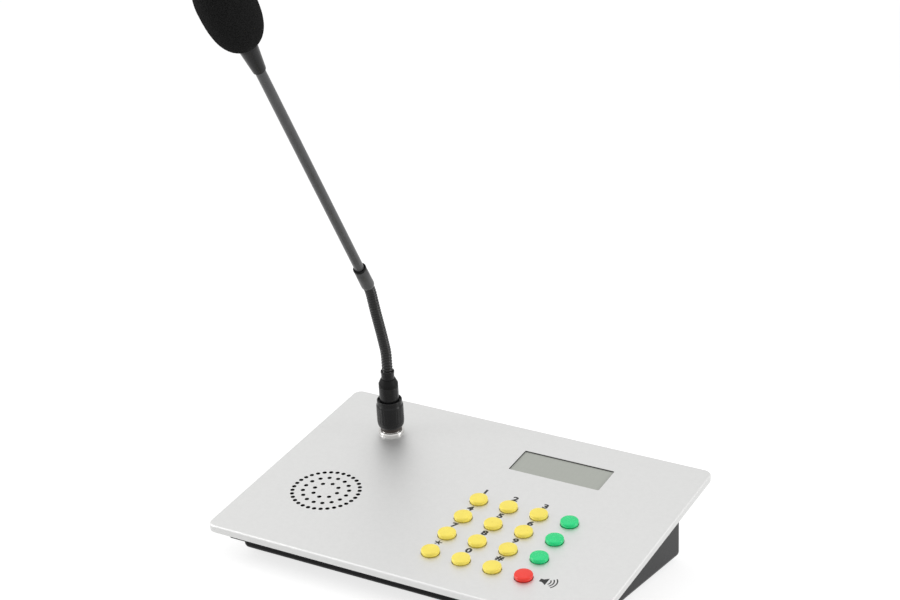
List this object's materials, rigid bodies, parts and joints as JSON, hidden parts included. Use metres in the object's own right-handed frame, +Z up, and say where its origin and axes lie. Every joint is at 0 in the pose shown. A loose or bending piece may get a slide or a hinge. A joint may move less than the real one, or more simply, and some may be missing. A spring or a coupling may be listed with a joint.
{
  "type": "desktop paging microphone",
  "caption": "Desktop paging console with a sloping keypad panel, a small display, a loudspeaker and a plug-in flexible microphone with a foam windscreen.",
  "frame": {"origin": "on the table, under the middle of the top panel", "axes": "+X to the user's right, +Y to the back, +Z up"},
  "size_m": [0.2764, 0.2878, 0.4007],
  "materials": {
    "panel": "satin anodised",
    "case": "fine black texture",
    "bottom": "black powder coat",
    "feet": "matt",
    "screws": "zinc plated",
    "black_screws": "black oxide",
    "key_yellow": "soft gloss",
    "key_green": "soft gloss",
    "key_red": "soft gloss",
    "window": "clear over grey",
    "cell": "grey green",
    "tin": "tin plate",
    "board": "solder mask",
    "parts": "moulded",
    "wires": "insulation",
    "black_plastic": "moulded",
    "shield": "tin plate",
    "gasket": "foam rubber",
    "basket": "black",
    "cone": "coated paper",
    "magnet": "ferrite",
    "chrome": "polished",
    "nut": "nickel",
    "plug_black": "satin black",
    "neck_black": "black ribbed",
    "rod_grey": "satin dark grey",
    "capsule": "plain",
    "mesh": "black mesh",
    "foam": "open-cell foam"
  },
  "bodies": {
    "console": {"top_panel": "panel", "case_shell": "case", "bottom_plate": "bottom", "rubber_feet": "feet", "bottom_screws": "black_screws", "inner_screws": "screws", "display_lens": "window", "display_cell": "cell", "display_frame": "tin", "display_board": "board", "key_board": "board", "key_switches": "parts", "main_board": "board", "board_parts": "parts", "inner_wires": "wires", "network_socket": "shield", "power_socket": "black_plastic", "audio_socket": "black_plastic", "speaker_gasket": "gasket", "speaker_frame": "basket", "speaker_cone": "cone", "speaker_magnet": "magnet", "mic_socket": "chrome", "socket_nut": "nut", "socket_insert": "black_plastic"},
    "mic_plug": {"plug_shell": "plug_black", "plug_insert": "black_plastic", "neck_ferrule": "plug_black", "neck_link_0": "neck_black"},
    "lock_ring": {"lock_ring": "plug_black"},
    "mic_head": {"neck_link_7": "neck_black", "rod_collar": "rod_grey", "rod_tube": "rod_grey", "rod_cable": "black_plastic", "head_housing": "plug_black", "head_capsule": "capsule", "head_grille": "mesh"},
    "windscreen": {"windscreen": "foam"},
    "neck_1": {"neck_link_1": "neck_black"},
    "neck_2": {"neck_link_2": "neck_black"},
    "neck_3": {"neck_link_3": "neck_black"},
    "neck_4": {"neck_link_4": "neck_black"},
    "neck_5": {"neck_link_5": "neck_black"},
    "neck_6": {"neck_link_6": "neck_black"},
    "key_1": {"key_1": "key_yellow"},
    "key_2": {"key_2": "key_yellow"},
    "key_3": {"key_3": "key_yellow"},
    "key_4": {"key_4": "key_yellow"},
    "key_5": {"key_5": "key_yellow"},
    "key_6": {"key_6": "key_yellow"},
    "key_7": {"key_7": "key_yellow"},
    "key_8": {"key_8": "key_yellow"},
    "key_9": {"key_9": "key_yellow"},
    "key_star": {"key_star": "key_yellow"},
    "key_0": {"key_0": "key_yellow"},
    "key_hash": {"key_hash": "key_yellow"},
    "key_green_1": {"key_green_1": "key_green"},
    "key_green_2": {"key_green_2": "key_green"},
    "key_green_3": {"key_green_3": "key_green"},
    "key_red": {"key_red": "key_red"}
  },
  "joints": [
    {"name": "mic_unplug", "type": "slide", "parent": "console", "child": "mic_plug", "axis": [0, -0.2215, 0.9751], "range_m": [0, 0.022]},
    {"name": "lock_ring_turn", "type": "hinge", "parent": "mic_plug", "child": "lock_ring", "pos_m": [-0.0859, 0.05099, 0.07047], "axis": [0, -0.2215, 0.9751], "range_deg": [0, 90]},
    {"name": "neck_bend_1", "type": "hinge", "parent": "mic_plug", "child": "neck_1", "pos_m": [-0.0859, 0.04047, 0.11679], "axis": [1, 0, 0], "range_deg": [-36.5, 7.5]},
    {"name": "neck_sway_2", "type": "hinge", "parent": "neck_1", "child": "neck_2", "pos_m": [-0.0859, 0.03611, 0.12523], "axis": [0, 0.8886, 0.4587], "range_deg": [-22, 22]},
    {"name": "neck_bend_3", "type": "hinge", "parent": "neck_2", "child": "neck_3", "pos_m": [-0.0859, 0.03175, 0.13367], "axis": [1, 0, 0], "range_deg": [-23.5, 20.5]},
    {"name": "neck_sway_4", "type": "hinge", "parent": "neck_3", "child": "neck_4", "pos_m": [-0.0859, 0.02718, 0.142], "axis": [0, 0.8763, 0.4818], "range_deg": [-22, 22]},
    {"name": "neck_bend_5", "type": "hinge", "parent": "neck_4", "child": "neck_5", "pos_m": [-0.0859, 0.0226, 0.15032], "axis": [1, 0, 0], "range_deg": [-20, 24]},
    {"name": "neck_sway_6", "type": "hinge", "parent": "neck_5", "child": "neck_6", "pos_m": [-0.0859, 0.01832, 0.1588], "axis": [0, 0.8926, 0.4509], "range_deg": [-22, 22]},
    {"name": "neck_bend_7", "type": "hinge", "parent": "neck_6", "child": "mic_head", "pos_m": [-0.0859, 0.01404, 0.16728], "axis": [1, 0, 0], "range_deg": [-36.4, 7.6]},
    {"name": "windscreen_pull", "type": "slide", "parent": "mic_head", "child": "windscreen", "axis": [0, -0.6587, 0.7524], "range_m": [0, 0.05]},
    {"name": "key_1_press", "type": "slide", "parent": "console", "child": "key_1", "axis": [0, 0.2215, -0.9751], "range_m": [0, 0.0008], "stiffness_N_per_m": 800, "springref_m": -0.001},
    {"name": "key_2_press", "type": "slide", "parent": "console", "child": "key_2", "axis": [0, 0.2215, -0.9751], "range_m": [0, 0.0008], "stiffness_N_per_m": 800, "springref_m": -0.001},
    {"name": "key_3_press", "type": "slide", "parent": "console", "child": "key_3", "axis": [0, 0.2215, -0.9751], "range_m": [0, 0.0008], "stiffness_N_per_m": 800, "springref_m": -0.001},
    {"name": "key_4_press", "type": "slide", "parent": "console", "child": "key_4", "axis": [0, 0.2215, -0.9751], "range_m": [0, 0.0008], "stiffness_N_per_m": 800, "springref_m": -0.001},
    {"name": "key_5_press", "type": "slide", "parent": "console", "child": "key_5", "axis": [0, 0.2215, -0.9751], "range_m": [0, 0.0008], "stiffness_N_per_m": 800, "springref_m": -0.001},
    {"name": "key_6_press", "type": "slide", "parent": "console", "child": "key_6", "axis": [0, 0.2215, -0.9751], "range_m": [0, 0.0008], "stiffness_N_per_m": 800, "springref_m": -0.001},
    {"name": "key_7_press", "type": "slide", "parent": "console", "child": "key_7", "axis": [0, 0.2215, -0.9751], "range_m": [0, 0.0008], "stiffness_N_per_m": 800, "springref_m": -0.001},
    {"name": "key_8_press", "type": "slide", "parent": "console", "child": "key_8", "axis": [0, 0.2215, -0.9751], "range_m": [0, 0.0008], "stiffness_N_per_m": 800, "springref_m": -0.001},
    {"name": "key_9_press", "type": "slide", "parent": "console", "child": "key_9", "axis": [0, 0.2215, -0.9751], "range_m": [0, 0.0008], "stiffness_N_per_m": 800, "springref_m": -0.001},
    {"name": "key_star_press", "type": "slide", "parent": "console", "child": "key_star", "axis": [0, 0.2215, -0.9751], "range_m": [0, 0.0008], "stiffness_N_per_m": 800, "springref_m": -0.001},
    {"name": "key_0_press", "type": "slide", "parent": "console", "child": "key_0", "axis": [0, 0.2215, -0.9751], "range_m": [0, 0.0008], "stiffness_N_per_m": 800, "springref_m": -0.001},
    {"name": "key_hash_press", "type": "slide", "parent": "console", "child": "key_hash", "axis": [0, 0.2215, -0.9751], "range_m": [0, 0.0008], "stiffness_N_per_m": 800, "springref_m": -0.001},
    {"name": "key_green_1_press", "type": "slide", "parent": "console", "child": "key_green_1", "axis": [0, 0.2215, -0.9751], "range_m": [0, 0.0008], "stiffness_N_per_m": 800, "springref_m": -0.001},
    {"name": "key_green_2_press", "type": "slide", "parent": "console", "child": "key_green_2", "axis": [0, 0.2215, -0.9751], "range_m": [0, 0.0008], "stiffness_N_per_m": 800, "springref_m": -0.001},
    {"name": "key_green_3_press", "type": "slide", "parent": "console", "child": "key_green_3", "axis": [0, 0.2215, -0.9751], "range_m": [0, 0.0008], "stiffness_N_per_m": 800, "springref_m": -0.001},
    {"name": "key_red_press", "type": "slide", "parent": "console", "child": "key_red", "axis": [0, 0.2215, -0.9751], "range_m": [0, 0.0008], "stiffness_N_per_m": 800, "springref_m": -0.001}
  ]
}
